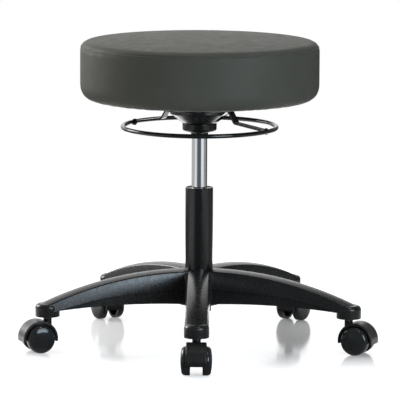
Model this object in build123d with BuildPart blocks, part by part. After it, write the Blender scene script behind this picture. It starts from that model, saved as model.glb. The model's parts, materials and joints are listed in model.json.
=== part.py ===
from build123d import *
import os
from math import acos, asin, atan2, cos, degrees, hypot, radians, sin, sqrt

# A height-adjustable swivel stool: a round padded seat on a gas lift, a release ring that
# works from any side, a moulded five-arm base and five twin-wheel swivel casters.
# Millimetres, +Z up. The origin is on the floor, on the column's axis. The front arm points to -Y.
# The lift stands at its full height.

# Fits and clearances
RUNNING_FIT = 0.05  # radial, on shafts that turn or slide
ASSEMBLY_FIT = 0.1  # radial, on pieces that are pressed or screwed together
MOVING_GAP = 0.3  # between faces that pass each other
SOFT_GAP = 0.3  # between the padding and what holds it

# Casters
WHEEL_RADIUS = 25.4
WHEEL_WIDTH = 16.5
WHEEL_SPACING = 22  # between the inner rims of a caster's two wheels
WHEEL_SHOULDER = 7  # rounding of the outer rim
WHEEL_DOME = 1.5  # rise of the outer face
WHEEL_FLAT_RADIUS = 3  # in the middle of the outer face
WHEEL_RIM_WALL = 4.5
WHEEL_DISC_WALL = 4
WHEEL_HUB_RADIUS = 6.5
WHEEL_HUB_DEPTH = 13  # depth of the axle's blind bore
AXLE_RADIUS = 3
HOOD_CLEARANCE = 3  # from the tread to the hood
HOOD_WALL = 4
HOOD_WIDTH = 36
HOOD_EDGE_RADIUS = 1.6
HOOD_SKIRT_ANGLE = 9  # how far each end of the hood reaches below the axle
WEB_WIDTH = 18
AXLE_BOSS_RADIUS = 9
CASTER_TRAIL = 18  # from the stem to the axle
NECK_RADIUS = 7.5
NECK_RISE = 2.8  # above the top of the hood
STEM_RADIUS = 5.5
STEM_LENGTH = 19
STEM_CHAMFER = 1
STEM_PIN_RADIUS = 5
STEM_PIN_LENGTH = 26
STEM_COLLAR_RADIUS = 8
STEM_COLLAR_HEIGHT = 3
GRIP_GROOVE_DEPTH = 0.9
GRIP_GROOVE_LENGTH = 7
GRIP_RING_WALL = 1.2
GRIP_RING_SPLIT = 2
PIN_END_GAP = 1  # past the end of a pin in its blind bore

# Base
ARM_COUNT = 5
FRONT_ARM_ANGLE = -90
CASTER_CIRCLE_RADIUS = 284
ARM_WIDTH = 44
ARM_CREST_RADIUS = 40  # the top of the arm is level as far as this
ARM_CROWN = 3.6  # rise of the arm's top across its width
ARM_SIDE_LEAN = 3.5  # by which each side curves in towards the top
ARM_EDGE_RADIUS = 2.5
ARM_RUN_OUT = 9.5  # from the stem to where the arm's top meets the top of the socket
ARM_END_WIDTH = 30  # of the wide upper beam, inside the socket
ARM_UPPER_HEIGHT = 36.2  # of the wide upper beam, at the hub
ARM_STEP_START = 80  # the step along the side is level as far as this
ARM_STEP_DEPTH = 3.5  # by which the lower web is narrower on each side
ARM_TOP_WALL = 3.5
ARM_SIDE_WALL = 4
ARM_RIB_WALL = 3.5
ARM_POCKET_COUNT = 4
WEB_RISE_AT_HUB = 12.5  # the web's lower edge, above the sockets
WEB_RISE_AT_MIDDLE = 16.5
WEB_RISE_AT_TIP = 9.5
WEB_MIDDLE_RADIUS = 150
CASTER_SOCKET_HEIGHT = 23.4
CASTER_SOCKET_EDGE_RADIUS = 8
BASE_RISE = 74.9  # from the sockets' lower face to the top of the hub
HUB_RADIUS = 37
HUB_HEIGHT = 65.2
CROTCH_RADIUS = 10  # of the fillets between the arms
CROTCH_REACH = 62  # of those fillets, from the column's axis

# Gas lift
COLUMN_RADIUS = 25
COLUMN_WALL = 2
COLUMN_EXPOSED = 147.8  # above the hub
COLUMN_TIP_RADIUS = 22.6  # at the lower end of the taper
COLUMN_TAIL = 13  # below the hub
COLUMN_FLOOR = 3
COLUMN_CHAMFER = 1
STROKE = 90
LOWEST_GAP = 3.4  # from the column to the socket's nose when the seat is lowest
GUIDE_LENGTH = 84
GUIDE_TOP_INSET = 1.5
CYLINDER_RADIUS = 14
CYLINDER_WALL = 2
CYLINDER_END_GAP = 2  # from the bump stop when the seat is lowest
TAPER_LENGTH = 38.6
TAPER_TOP_RADIUS = 13
SEAL_INSET = 0.5
SEAL_LENGTH = 8.5
PISTON_LENGTH = 9
ROD_RADIUS = 5
ROD_TIP_RADIUS = 4
ROD_TIP_LENGTH = 2.5  # past the retaining clip
RACE_RADIUS = 13
RACE_THICKNESS = 2.5
BALL_RADIUS = 2.5
BALL_COUNT = 8
BALL_CIRCLE_RADIUS = 9
CAGE_THICKNESS = 2
CAGE_WALL = 0.6
BUMP_RADIUS = 11
BUMP_LENGTH = 12
CLIP_WASHER_RADIUS = 9
CLIP_WASHER_THICKNESS = 1.2
CLIP_RADIUS = 7.5
CLIP_THICKNESS = 1.4
CLIP_GROOVE_DEPTH = 1
VALVE_PIN_RADIUS = 4
VALVE_PIN_PROUD = 8
VALVE_PIN_LENGTH = 84

# Seat mount
CUP_RADIUS = 31
CUP_HEIGHT = 15.6
CUP_WALL = 3
CUP_EDGE_RADIUS = 5
CUP_RIM_RADIUS = 1.6
SOCKET_WALL = 5
SOCKET_PROUD = 2  # below the cup
SOCKET_NOSE_WALL = 1.4  # of the thin collar below the socket
SOCKET_NOSE_LENGTH = 7
SOCKET_TOP_INSET = 2
PLATE_SIZE = 200
PLATE_CORNER_RADIUS = 20
PLATE_THICKNESS = 3
PLATE_STEP = 13.5  # from the bolted flange down to the fulcrum shelf
STEP_RADIUS = 80
DISH_DEPTH = 26
DISH_CONE_HEIGHT = 17  # of the sloping wall, below the upright one
DISH_RIM_RADIUS = 54
DISH_FLOOR_RADIUS = 32
DISH_EDGE_RADIUS = 2.5  # around its floor
DISH_SHOULDER_RADIUS = 4  # where the sloping wall turns upright
BOLT_SPACING = 150
BOLT_RADIUS = 3
BOLT_HEAD_RADIUS = 5.8
BOLT_HEAD_HEIGHT = 4
BOLT_LENGTH = 15
WASHER_RADIUS = 8
WASHER_THICKNESS = 1.6
TEE_NUT_RADIUS = 4.2
TEE_FLANGE_RADIUS = 10
TEE_FLANGE_THICKNESS = 1.5

# Release ring
RING_RADIUS = 138.5
RING_BAR_RADIUS = 4
RING_DROP = 34  # below the fulcrum shelf
BAR_ANGLE = -28
BAR_WIDTH = 18
BAR_THICKNESS = 3
BAR_BEND_RADIUS = 5
BAR_FLOOR_GAP = 11.5  # above the floor of the dish
BAR_SIDE_GAP = 1.5
BRIDGE_HALF_LENGTH = 20
BRIDGE_FOOT_RADIUS = 30
FULCRUM_RADIUS = 60
INNER_FOOT_RUN = 12  # from the fulcrum inwards
OUTER_FOOT_RUN = 15  # from the fulcrum outwards
OUTER_FOOT_DROP = 23  # below the fulcrum shelf
BAR_END_RISE = 0.5  # of the bar's welded ends, above the middle of the ring's wire
SLOT_HEIGHT = 21.5

# Seat
SEAT_RADIUS = 216
SEAT_THICKNESS = 105
SEAT_CROWN = 6
SEAT_DRAW_IN = 2.5  # by which the side is narrower at its upper and lower ends
SEAT_TOP_EDGE_RADIUS = 9
SEAT_BOTTOM_EDGE_RADIUS = 25
COVER_THICKNESS = 1.2
COVER_WRAP = 40  # width of the cover's turned-in edge under the board
BOARD_INSET = 28
BOARD_THICKNESS = 12
STAPLE_COUNT = 36
STAPLE_INSET = 26  # from the board's edge
STAPLE_WIDTH = 10
STAPLE_WIRE = 1
STAPLE_LEG = 8

# Heights, from the floor up
AXLE_Z = WHEEL_RADIUS
HOOD_INNER_RADIUS = WHEEL_RADIUS + HOOD_CLEARANCE
HOOD_OUTER_RADIUS = HOOD_INNER_RADIUS + HOOD_WALL
NECK_TOP_Z = AXLE_Z + HOOD_OUTER_RADIUS + NECK_RISE
COLLAR_BOTTOM_Z = NECK_TOP_Z + MOVING_GAP
SOCKET_BOTTOM_Z = COLLAR_BOTTOM_Z + STEM_COLLAR_HEIGHT
HUB_TOP_Z = SOCKET_BOTTOM_Z + BASE_RISE
HUB_BOTTOM_Z = HUB_TOP_Z - HUB_HEIGHT
COLUMN_TOP_Z = HUB_TOP_Z + COLUMN_EXPOSED
COLUMN_BOTTOM_Z = HUB_BOTTOM_Z - COLUMN_TAIL
LOWER_RACE_Z = COLUMN_BOTTOM_Z + COLUMN_FLOOR
BALL_Z = LOWER_RACE_Z + RACE_THICKNESS + RUNNING_FIT + BALL_RADIUS
UPPER_RACE_Z = BALL_Z + BALL_RADIUS + RUNNING_FIT
ROD_SHOULDER_Z = UPPER_RACE_Z + RACE_THICKNESS
CYLINDER_BOTTOM_Z = ROD_SHOULDER_Z + BUMP_LENGTH + CYLINDER_END_GAP + STROKE
SEAL_Z = CYLINDER_BOTTOM_Z + SEAL_INSET
PISTON_Z = SEAL_Z + SEAL_LENGTH + MOVING_GAP
PISTON_TOP_Z = PISTON_Z + PISTON_LENGTH
CHAMBER_TOP_Z = PISTON_TOP_Z + STROKE + CYLINDER_END_GAP
CLIP_WASHER_Z = COLUMN_BOTTOM_Z - RUNNING_FIT - CLIP_WASHER_THICKNESS
CLIP_Z = CLIP_WASHER_Z - CLIP_THICKNESS
NOSE_BOTTOM_Z = COLUMN_TOP_Z + STROKE + LOWEST_GAP
NOSE_TOP_Z = NOSE_BOTTOM_Z + SOCKET_NOSE_LENGTH
CUP_BOTTOM_Z = NOSE_TOP_Z + SOCKET_PROUD
CUP_TOP_Z = CUP_BOTTOM_Z + CUP_HEIGHT
TAPER_TOP_Z = CUP_BOTTOM_Z + TAPER_LENGTH
VALVE_PIN_TOP_Z = TAPER_TOP_Z + VALVE_PIN_PROUD
SHELF_Z = CUP_TOP_Z + DISH_DEPTH
FLANGE_Z = SHELF_Z + PLATE_STEP
BOARD_Z = FLANGE_Z + PLATE_THICKNESS
BOARD_TOP_Z = BOARD_Z + BOARD_THICKNESS
SEAT_BOTTOM_Z = BOARD_Z - COVER_THICKNESS
SEAT_RIM_Z = SEAT_BOTTOM_Z + SEAT_THICKNESS

# Sizes that follow from the ones above
ARM_TIP_RADIUS = CASTER_CIRCLE_RADIUS + ARM_WIDTH / 2
ARM_FALL = BASE_RISE - CASTER_SOCKET_HEIGHT
ARM_ARC_LENGTH = CASTER_CIRCLE_RADIUS + ARM_RUN_OUT - ARM_CREST_RADIUS
ARM_ARC_RADIUS = (ARM_ARC_LENGTH**2 + ARM_FALL**2) / (2 * ARM_FALL)
ARM_STEP_Z = HUB_TOP_Z - ARM_UPPER_HEIGHT
ARM_TOP_WIDTH = ARM_WIDTH - 2 * ARM_SIDE_LEAN
ARM_WEB_WIDTH = ARM_WIDTH - 2 * ARM_STEP_DEPTH
STEM_BORE_RADIUS = STEM_RADIUS - GRIP_GROOVE_DEPTH + GRIP_RING_WALL + 2 * ASSEMBLY_FIT
SOCKET_RADIUS = CYLINDER_RADIUS + SOCKET_WALL
SOCKET_NOSE_RADIUS = CYLINDER_RADIUS + SOCKET_NOSE_WALL
BOARD_RADIUS = SEAT_RADIUS - BOARD_INSET
RING_Z = SHELF_Z - RING_DROP
INNER_FOOT_RADIUS = FULCRUM_RADIUS - INNER_FOOT_RUN
OUTER_FOOT_RADIUS = FULCRUM_RADIUS + OUTER_FOOT_RUN
FULCRUM_Z = SHELF_Z - MOVING_GAP - BAR_THICKNESS / 2 - BAR_BEND_RADIUS
BRIDGE_Z = VALVE_PIN_TOP_Z + MOVING_GAP + BAR_THICKNESS / 2
INNER_FOOT_Z = CUP_TOP_Z + PLATE_THICKNESS + BAR_FLOOR_GAP + BAR_THICKNESS / 2
SIDE_ARC_RADIUS = ((SEAT_THICKNESS / 2) ** 2 + SEAT_DRAW_IN**2) / (2 * SEAT_DRAW_IN)
CROWN_ARC_RADIUS = ((SEAT_RADIUS - SEAT_DRAW_IN) ** 2 + SEAT_CROWN**2) / (2 * SEAT_CROWN)
WHEEL_INNER_Y = WHEEL_SPACING / 2
WHEEL_OUTER_Y = WHEEL_INNER_Y + WHEEL_WIDTH
AXLE_HALF_LENGTH = WHEEL_INNER_Y + WHEEL_HUB_DEPTH - PIN_END_GAP

# Each caster's arm, counted from the front one, and the angle by which it has swung off the arm's line
CASTERS = {
    "front": (0, 0),
    "right": (1, -4.5),
    "back_right": (2, 6),
    "back_left": (3, -8),
    "left": (4, 4),
}

os.makedirs("parts", exist_ok=True)


def save(piece, label):
    """Label one finished piece and write it to its own file."""
    piece.label = label
    export_step(piece, f"parts/{label}.step")


def arm_top(radius):
    """Height of the middle of an arm's top at a distance from the column."""
    run = max(radius - ARM_CREST_RADIUS, 0)
    return HUB_TOP_Z - ARM_ARC_RADIUS + sqrt(ARM_ARC_RADIUS**2 - run**2)


def touch_angle(point, center, radius, side):
    """Angle, from 0 to 360, at which a line from an outside point touches a circle; side is 1 or -1."""
    dx = point[0] - center[0]
    dz = point[1] - center[1]
    return degrees(atan2(dz, dx) + side * acos(radius / hypot(dx, dz))) % 360


def on_circle(center, radius, angle):
    """Point of a circle at an angle in degrees."""
    return (center[0] + radius * cos(radians(angle)), center[1] + radius * sin(radians(angle)))


def washer(inner_radius, outer_radius, thickness, height):
    """Flat ring on the column's axis, with its lower face at a height."""
    with BuildPart() as ring:
        with BuildSketch(Plane.XY.offset(height)):
            Circle(outer_radius)
            Circle(inner_radius, mode=Mode.SUBTRACT)
        extrude(amount=thickness)
    return ring.part


def split_ring(inner_radius, outer_radius, split, thickness, height):
    """Flat ring on the Z axis with a gap cut through it on the +X side."""
    with BuildPart() as ring:
        with BuildSketch(Plane.XY.offset(height)):
            Circle(outer_radius)
            Circle(inner_radius, mode=Mode.SUBTRACT)
            with Locations((outer_radius / 2, 0)):
                Rectangle(outer_radius, split, mode=Mode.SUBTRACT)
        extrude(amount=thickness)
    return ring.part


# Socket at the tip of an arm, for one caster's stem
with BuildPart() as caster_socket:
    with BuildSketch(Plane.XY.offset(SOCKET_BOTTOM_Z)):
        with Locations((CASTER_CIRCLE_RADIUS, 0)):
            Circle(ARM_WIDTH / 2)
    extrude(amount=CASTER_SOCKET_HEIGHT)
    fillet(caster_socket.edges().group_by(Axis.Z)[-1], CASTER_SOCKET_EDGE_RADIUS)

# One arm, along +X: a wide upper beam with a crowned top that falls towards its tip and sides that
# lean in, and a narrower web below it
with BuildPart() as arm:
    with BuildSketch(Plane.YZ.offset(ARM_CREST_RADIUS)) as beam_section:
        with BuildLine():
            Polyline(
                (ARM_WIDTH / 2, ARM_STEP_Z),
                (ARM_WIDTH / 2, HUB_TOP_Z - BASE_RISE),
                (-ARM_WIDTH / 2, HUB_TOP_Z - BASE_RISE),
                (-ARM_WIDTH / 2, ARM_STEP_Z),
            )
            for side in (-1, 1):
                shoulder = (side * ARM_TOP_WIDTH / 2, HUB_TOP_Z - ARM_CROWN)
                TangentArc((side * ARM_WIDTH / 2, ARM_STEP_Z), shoulder, tangent=(0, 1))
            ThreePointArc(
                (-ARM_TOP_WIDTH / 2, HUB_TOP_Z - ARM_CROWN),
                (0, HUB_TOP_Z),
                (ARM_TOP_WIDTH / 2, HUB_TOP_Z - ARM_CROWN),
            )
        make_face()
    extrude(amount=-ARM_CREST_RADIUS)
    add(beam_section.sketch)
    revolve(
        axis=Axis((ARM_CREST_RADIUS, 0, HUB_TOP_Z - ARM_ARC_RADIUS), (0, 1, 0)),
        revolution_arc=degrees(asin(ARM_ARC_LENGTH / ARM_ARC_RADIUS)),
    )
    upper_edges = arm.faces().filter_by(lambda face: face.normal_at().Z > 0.5).edges()
    fillet(upper_edges.filter_by(lambda edge: abs(edge.center().Y) > ARM_WIDTH / 4), ARM_EDGE_RADIUS)
    with BuildSketch(Plane.XZ):
        with BuildLine():
            Polyline(
                (ARM_STEP_START, ARM_STEP_Z),
                (0, ARM_STEP_Z),
                (0, HUB_TOP_Z),
                (ARM_TIP_RADIUS, HUB_TOP_Z),
                (ARM_TIP_RADIUS, SOCKET_BOTTOM_Z),
            )
            TangentArc((ARM_STEP_START, ARM_STEP_Z), (ARM_TIP_RADIUS, SOCKET_BOTTOM_Z), tangent=(1, 0))
        make_face()
    extrude(amount=ARM_WIDTH / 2, both=True, mode=Mode.INTERSECT)
    with BuildSketch(Plane.XY):
        with BuildLine():
            Polyline(
                (0, ARM_WIDTH / 2),
                (CASTER_CIRCLE_RADIUS, ARM_WIDTH / 2),
                (CASTER_CIRCLE_RADIUS + ARM_RUN_OUT, ARM_END_WIDTH / 2),
                (CASTER_CIRCLE_RADIUS + ARM_RUN_OUT, 0),
            )
            mirror(about=Plane.XZ)
            Line((0, ARM_WIDTH / 2), (0, -ARM_WIDTH / 2))
        make_face()
    extrude(amount=HUB_TOP_Z, mode=Mode.INTERSECT)
    add(caster_socket.part)
    with BuildSketch(Plane.XZ):
        web_tip_radius = CASTER_CIRCLE_RADIUS
        web_top_rise = ARM_STEP_DEPTH + ARM_EDGE_RADIUS
        with BuildLine():
            Polyline(
                (HUB_RADIUS, SOCKET_BOTTOM_Z + WEB_RISE_AT_HUB),
                (0, SOCKET_BOTTOM_Z + WEB_RISE_AT_HUB),
                (0, ARM_STEP_Z + web_top_rise),
                (ARM_STEP_START, ARM_STEP_Z + web_top_rise),
            )
            TangentArc(
                (ARM_STEP_START, ARM_STEP_Z + web_top_rise),
                (web_tip_radius, SOCKET_BOTTOM_Z + WEB_RISE_AT_TIP + web_top_rise),
                tangent=(1, 0),
            )
            Line(
                (web_tip_radius, SOCKET_BOTTOM_Z + WEB_RISE_AT_TIP + web_top_rise),
                (web_tip_radius, SOCKET_BOTTOM_Z + WEB_RISE_AT_TIP),
            )
            ThreePointArc(
                (web_tip_radius, SOCKET_BOTTOM_Z + WEB_RISE_AT_TIP),
                (WEB_MIDDLE_RADIUS, SOCKET_BOTTOM_Z + WEB_RISE_AT_MIDDLE),
                (HUB_RADIUS, SOCKET_BOTTOM_Z + WEB_RISE_AT_HUB),
            )
        make_face()
    extrude(amount=ARM_WEB_WIDTH / 2, both=True)

    # Ribbed pockets, open below, keep the moulded walls thin
    pocket_start = HUB_RADIUS + ARM_RIB_WALL
    pocket_end = CASTER_CIRCLE_RADIUS - ARM_WIDTH / 2 - ARM_RIB_WALL
    pocket_pitch = (pocket_end - pocket_start + ARM_RIB_WALL) / ARM_POCKET_COUNT
    for pocket in range(ARM_POCKET_COUNT):
        near = pocket_start + pocket * pocket_pitch
        far = near + pocket_pitch - ARM_RIB_WALL
        with BuildSketch(Plane.XZ):
            with BuildLine():
                Polyline(
                    (near, SOCKET_BOTTOM_Z),
                    (near, arm_top(near) - ARM_CROWN - ARM_TOP_WALL),
                    (far, arm_top(far) - ARM_CROWN - ARM_TOP_WALL),
                    (far, SOCKET_BOTTOM_Z),
                    close=True,
                )
            make_face()
        extrude(amount=ARM_WEB_WIDTH / 2 - ARM_SIDE_WALL, both=True, mode=Mode.SUBTRACT)
    with BuildSketch(Plane.XY.offset(SOCKET_BOTTOM_Z)):
        with Locations((CASTER_CIRCLE_RADIUS, 0)):
            Circle(STEM_BORE_RADIUS)
    extrude(amount=STEM_LENGTH + PIN_END_GAP, mode=Mode.SUBTRACT)

# Five-arm base, with a tapered bore for the column
with BuildPart() as star_base:
    with BuildSketch(Plane.XY.offset(HUB_BOTTOM_Z)):
        Circle(HUB_RADIUS)
    extrude(amount=HUB_HEIGHT - ARM_CROWN)
    with BuildSketch(Plane.XY.offset(ARM_STEP_Z)) as crotches:
        with PolarLocations(CROTCH_REACH / 2, ARM_COUNT, start_angle=FRONT_ARM_ANGLE):
            Rectangle(CROTCH_REACH, ARM_TOP_WIDTH)
        inner_corners = crotches.vertices().group_by(lambda corner: round(hypot(corner.X, corner.Y)))[0]
        fillet(inner_corners, CROTCH_RADIUS)
    extrude(amount=ARM_UPPER_HEIGHT - ARM_CROWN - ARM_EDGE_RADIUS)
    with PolarLocations(0, ARM_COUNT, start_angle=FRONT_ARM_ANGLE):
        add(arm.part)
    with BuildSketch(Plane.XZ):
        with BuildLine():
            Polyline(
                (0, COLUMN_BOTTOM_Z),
                (COLUMN_TIP_RADIUS + RUNNING_FIT, COLUMN_BOTTOM_Z),
                (COLUMN_RADIUS + RUNNING_FIT, HUB_TOP_Z),
                (0, HUB_TOP_Z),
                close=True,
            )
        make_face()
    revolve(axis=Axis.Z, mode=Mode.SUBTRACT)
save(star_base.part, "star_base")

# Outer column: a steel tube, tapered where it sits in the hub, with a floor for the bearing
with BuildPart() as column_tube:
    with BuildSketch(Plane.XZ):
        with BuildLine():
            Polyline(
                (ROD_TIP_RADIUS + MOVING_GAP, COLUMN_BOTTOM_Z),
                (COLUMN_TIP_RADIUS, COLUMN_BOTTOM_Z),
                (COLUMN_RADIUS, HUB_TOP_Z),
                (COLUMN_RADIUS, COLUMN_TOP_Z - COLUMN_CHAMFER),
                (COLUMN_RADIUS - COLUMN_CHAMFER, COLUMN_TOP_Z),
                (COLUMN_RADIUS - COLUMN_WALL, COLUMN_TOP_Z),
                (COLUMN_RADIUS - COLUMN_WALL, HUB_TOP_Z),
                (COLUMN_TIP_RADIUS - COLUMN_WALL, COLUMN_BOTTOM_Z + COLUMN_FLOOR),
                (ROD_TIP_RADIUS + MOVING_GAP, COLUMN_BOTTOM_Z + COLUMN_FLOOR),
                close=True,
            )
        make_face()
    revolve(axis=Axis.Z)
save(column_tube.part, "column_tube")

guide_top_z = COLUMN_TOP_Z - GUIDE_TOP_INSET
save(
    washer(
        CYLINDER_RADIUS + RUNNING_FIT,
        COLUMN_RADIUS - COLUMN_WALL - RUNNING_FIT,
        GUIDE_LENGTH,
        guide_top_z - GUIDE_LENGTH,
    ),
    "guide_bushing",
)

# Thrust bearing at the foot of the column
save(washer(ROD_TIP_RADIUS + MOVING_GAP, RACE_RADIUS, RACE_THICKNESS, LOWER_RACE_Z), "bearing_lower_race")
save(washer(ROD_TIP_RADIUS + RUNNING_FIT, RACE_RADIUS, RACE_THICKNESS, UPPER_RACE_Z), "bearing_upper_race")

with BuildPart() as bearing_cage:
    cage_half_width = BALL_RADIUS + RUNNING_FIT + CAGE_WALL
    with BuildSketch(Plane.XY.offset(BALL_Z - CAGE_THICKNESS / 2)):
        Circle(BALL_CIRCLE_RADIUS + cage_half_width)
        Circle(BALL_CIRCLE_RADIUS - cage_half_width, mode=Mode.SUBTRACT)
        with PolarLocations(BALL_CIRCLE_RADIUS, BALL_COUNT):
            Circle(BALL_RADIUS + RUNNING_FIT, mode=Mode.SUBTRACT)
    extrude(amount=CAGE_THICKNESS)
save(bearing_cage.part, "bearing_cage")

with BuildPart() as bearing_balls:
    with Locations((0, 0, BALL_Z)):
        with PolarLocations(BALL_CIRCLE_RADIUS, BALL_COUNT):
            Sphere(BALL_RADIUS)
save(bearing_balls.part, "bearing_balls")

# Rod of the gas spring: it stands on the bearing, and a clip below the column's floor holds it down
with BuildPart() as piston_rod:
    groove_radius = ROD_TIP_RADIUS - CLIP_GROOVE_DEPTH
    with BuildSketch(Plane.XZ):
        with BuildLine():
            Polyline(
                (0, CLIP_Z - ROD_TIP_LENGTH),
                (ROD_TIP_RADIUS, CLIP_Z - ROD_TIP_LENGTH),
                (ROD_TIP_RADIUS, CLIP_Z),
                (groove_radius, CLIP_Z),
                (groove_radius, CLIP_WASHER_Z),
                (ROD_TIP_RADIUS, CLIP_WASHER_Z),
                (ROD_TIP_RADIUS, ROD_SHOULDER_Z),
                (ROD_RADIUS, ROD_SHOULDER_Z),
                (ROD_RADIUS, PISTON_TOP_Z),
                (0, PISTON_TOP_Z),
                close=True,
            )
        make_face()
    revolve(axis=Axis.Z)
save(piston_rod.part, "piston_rod")

chamber_radius = CYLINDER_RADIUS - CYLINDER_WALL
save(washer(ROD_RADIUS + RUNNING_FIT, chamber_radius - RUNNING_FIT, PISTON_LENGTH, PISTON_Z), "piston")
save(washer(ROD_RADIUS + RUNNING_FIT, BUMP_RADIUS, BUMP_LENGTH, ROD_SHOULDER_Z), "bump_stop")
save(
    washer(ROD_TIP_RADIUS + RUNNING_FIT, CLIP_WASHER_RADIUS, CLIP_WASHER_THICKNESS, CLIP_WASHER_Z),
    "clip_washer",
)
save(
    split_ring(groove_radius + RUNNING_FIT, CLIP_RADIUS, groove_radius, CLIP_THICKNESS, CLIP_Z),
    "retaining_clip",
)

# Pressure cylinder: it slides in the guide and ends in the taper that carries the seat
with BuildPart() as gas_cylinder:
    valve_bore_radius = VALVE_PIN_RADIUS + RUNNING_FIT
    with BuildSketch(Plane.XZ):
        with BuildLine():
            Polyline(
                (chamber_radius, CYLINDER_BOTTOM_Z),
                (CYLINDER_RADIUS, CYLINDER_BOTTOM_Z),
                (CYLINDER_RADIUS, CUP_BOTTOM_Z),
                (TAPER_TOP_RADIUS, TAPER_TOP_Z),
                (valve_bore_radius, TAPER_TOP_Z),
                (valve_bore_radius, CHAMBER_TOP_Z),
                (chamber_radius, CHAMBER_TOP_Z),
                close=True,
            )
        make_face()
    revolve(axis=Axis.Z)
save(gas_cylinder.part, "gas_cylinder")

save(washer(ROD_RADIUS + RUNNING_FIT, chamber_radius - RUNNING_FIT, SEAL_LENGTH, SEAL_Z), "rod_seal")

with BuildPart() as valve_pin:
    with BuildSketch(Plane.XY.offset(VALVE_PIN_TOP_Z - VALVE_PIN_LENGTH)):
        Circle(VALVE_PIN_RADIUS)
    extrude(amount=VALVE_PIN_LENGTH)
    chamfer(valve_pin.edges().group_by(Axis.Z)[-1], VALVE_PIN_RADIUS / 5)
save(valve_pin.part, "valve_pin")

# Taper socket: it grips the cylinder's taper, is welded into the floor of the dish, and ends below
# in a thin nose around the cylinder
with BuildPart() as taper_socket:
    socket_top_z = TAPER_TOP_Z - SOCKET_TOP_INSET
    taper_slope = (CYLINDER_RADIUS - TAPER_TOP_RADIUS) / TAPER_LENGTH
    with BuildSketch(Plane.XZ):
        with BuildLine():
            Polyline(
                (CYLINDER_RADIUS + RUNNING_FIT, CUP_BOTTOM_Z),
                (CYLINDER_RADIUS + RUNNING_FIT, NOSE_BOTTOM_Z),
                (SOCKET_NOSE_RADIUS, NOSE_BOTTOM_Z),
                (SOCKET_NOSE_RADIUS, NOSE_TOP_Z),
                (SOCKET_RADIUS, NOSE_TOP_Z),
                (SOCKET_RADIUS, socket_top_z),
                (CYLINDER_RADIUS + RUNNING_FIT - taper_slope * (socket_top_z - CUP_BOTTOM_Z), socket_top_z),
                close=True,
            )
        make_face()
    revolve(axis=Axis.Z)
save(taper_socket.part, "taper_socket")

# Cup: the round cover of the socket's lower end, under the dish
with BuildPart() as hub_cup:
    with BuildSketch(Plane.XY.offset(CUP_BOTTOM_Z)):
        Circle(CUP_RADIUS)
    extrude(amount=CUP_HEIGHT)
    fillet(hub_cup.edges().group_by(Axis.Z)[0], CUP_EDGE_RADIUS)
    fillet(hub_cup.edges().group_by(Axis.Z)[-1], CUP_RIM_RADIUS)
    with BuildSketch(Plane.XY.offset(CUP_BOTTOM_Z + CUP_WALL)):
        Circle(CUP_RADIUS - CUP_WALL)
    extrude(amount=CUP_HEIGHT - CUP_WALL, mode=Mode.SUBTRACT)
    with BuildSketch(Plane.XY.offset(CUP_BOTTOM_Z)):
        Circle(SOCKET_RADIUS + RUNNING_FIT)
    extrude(amount=CUP_HEIGHT, mode=Mode.SUBTRACT)
save(hub_cup.part, "hub_cup")

# Frame of the release bar: local x along the bar, local y up
bar_direction = Vector(1, 0, 0).rotate(Axis.Z, BAR_ANGLE)
bar_plane = Plane(origin=(0, 0, 0), x_dir=bar_direction, z_dir=bar_direction.cross(Vector(0, 0, 1)))

# Seat plate: a bolted flange, a lower shelf that the release bar bears on, and a dish for the socket
with BuildPart() as mount_plate:
    with BuildSketch(Plane.XY.offset(FLANGE_Z)):
        RectangleRounded(PLATE_SIZE, PLATE_SIZE, PLATE_CORNER_RADIUS)
        Circle(STEP_RADIUS, mode=Mode.SUBTRACT)
        with GridLocations(BOLT_SPACING, BOLT_SPACING, 2, 2):
            Circle(BOLT_RADIUS + ASSEMBLY_FIT, mode=Mode.SUBTRACT)
    extrude(amount=PLATE_THICKNESS)
    shoulder_z = CUP_TOP_Z + DISH_CONE_HEIGHT
    with BuildSketch(Plane.XZ) as dish_section:
        with BuildLine():
            Polyline(
                (SOCKET_RADIUS + RUNNING_FIT, CUP_TOP_Z),
                (DISH_FLOOR_RADIUS, CUP_TOP_Z),
                (DISH_RIM_RADIUS, shoulder_z),
                (DISH_RIM_RADIUS, SHELF_Z),
                (STEP_RADIUS, SHELF_Z),
                (STEP_RADIUS, BOARD_Z),
                (STEP_RADIUS - PLATE_THICKNESS, BOARD_Z),
                (STEP_RADIUS - PLATE_THICKNESS, SHELF_Z + PLATE_THICKNESS),
                (DISH_RIM_RADIUS - PLATE_THICKNESS, SHELF_Z + PLATE_THICKNESS),
                (DISH_RIM_RADIUS - PLATE_THICKNESS, shoulder_z + PLATE_THICKNESS),
                (DISH_FLOOR_RADIUS - PLATE_THICKNESS, CUP_TOP_Z + PLATE_THICKNESS),
                (SOCKET_RADIUS + RUNNING_FIT, CUP_TOP_Z + PLATE_THICKNESS),
                close=True,
            )
        make_face()
        floor_corners = dish_section.vertices().group_by(Axis.Y)[0]
        fillet(floor_corners.sort_by(Axis.X)[-1], DISH_EDGE_RADIUS)
        shoulder = dish_section.vertices().sort_by_distance((DISH_RIM_RADIUS, shoulder_z))[0]
        fillet(shoulder, DISH_SHOULDER_RADIUS)
    revolve(axis=Axis.Z)
    with BuildSketch(bar_plane):
        slot_length = 2 * DISH_RIM_RADIUS + PLATE_THICKNESS
        with Locations((0, CUP_TOP_Z + PLATE_THICKNESS + SLOT_HEIGHT / 2)):
            Rectangle(slot_length, SLOT_HEIGHT)
    extrude(amount=BAR_WIDTH / 2 + BAR_SIDE_GAP, both=True, mode=Mode.SUBTRACT)
save(mount_plate.part, "mount_plate")

# Release ring and the bent flat bar across it, which rocks on the shelf and presses the valve pin
with BuildPart() as release_ring:
    with Locations((0, 0, RING_Z)):
        Torus(RING_RADIUS, RING_BAR_RADIUS)
save(release_ring.part, "release_ring")

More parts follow.
